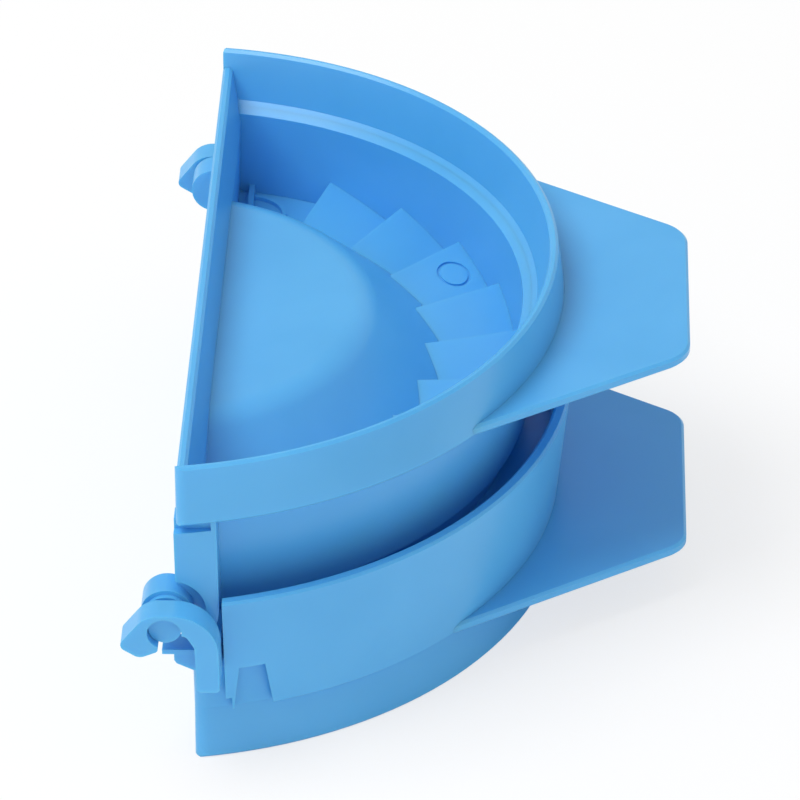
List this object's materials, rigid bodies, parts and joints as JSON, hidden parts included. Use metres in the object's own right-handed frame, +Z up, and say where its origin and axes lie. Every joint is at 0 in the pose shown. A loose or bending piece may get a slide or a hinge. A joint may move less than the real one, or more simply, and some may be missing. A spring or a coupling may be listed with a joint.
{
  "type": "empanada press",
  "caption": "Folding hand press for filled dough pockets: two moulded D-shaped halves with pleated crimping bands, snap hinges and thumb handles.",
  "frame": {"origin": "middle of the press on the surface that it stands on, under the centre of its closed outline", "axes": "+X from the hinge side to the handles, +Y along the hinge, +Z up from the skirt to the open rim"},
  "size_m": [0.0634, 0.1044, 0.0393],
  "materials": {
    "blue_plastic": "satin moulded polypropylene, mid blue"
  },
  "bodies": {
    "lower_half": {"base_skirt": "blue_plastic", "collar": "blue_plastic", "lower_back_wall": "blue_plastic", "lower_bowl": "blue_plastic", "lower_crimp_band": "blue_plastic", "lower_handle": "blue_plastic", "hinge_hook_front": "blue_plastic", "hinge_hook_rear": "blue_plastic"},
    "upper_half": {"upper_rim_wall": "blue_plastic", "upper_cutting_wall": "blue_plastic", "upper_back_wall": "blue_plastic", "upper_bowl": "blue_plastic", "upper_crimp_band": "blue_plastic", "upper_handle": "blue_plastic", "hinge_pin_leg_front": "blue_plastic", "hinge_pin_leg_rear": "blue_plastic"}
  },
  "joints": [
    {"name": "press_hinge", "type": "hinge", "parent": "lower_half", "child": "upper_half", "pos_m": [-0.02687, 0, 0.0204], "axis": [0, -1, 0], "range_deg": [0, 180]}
  ]
}
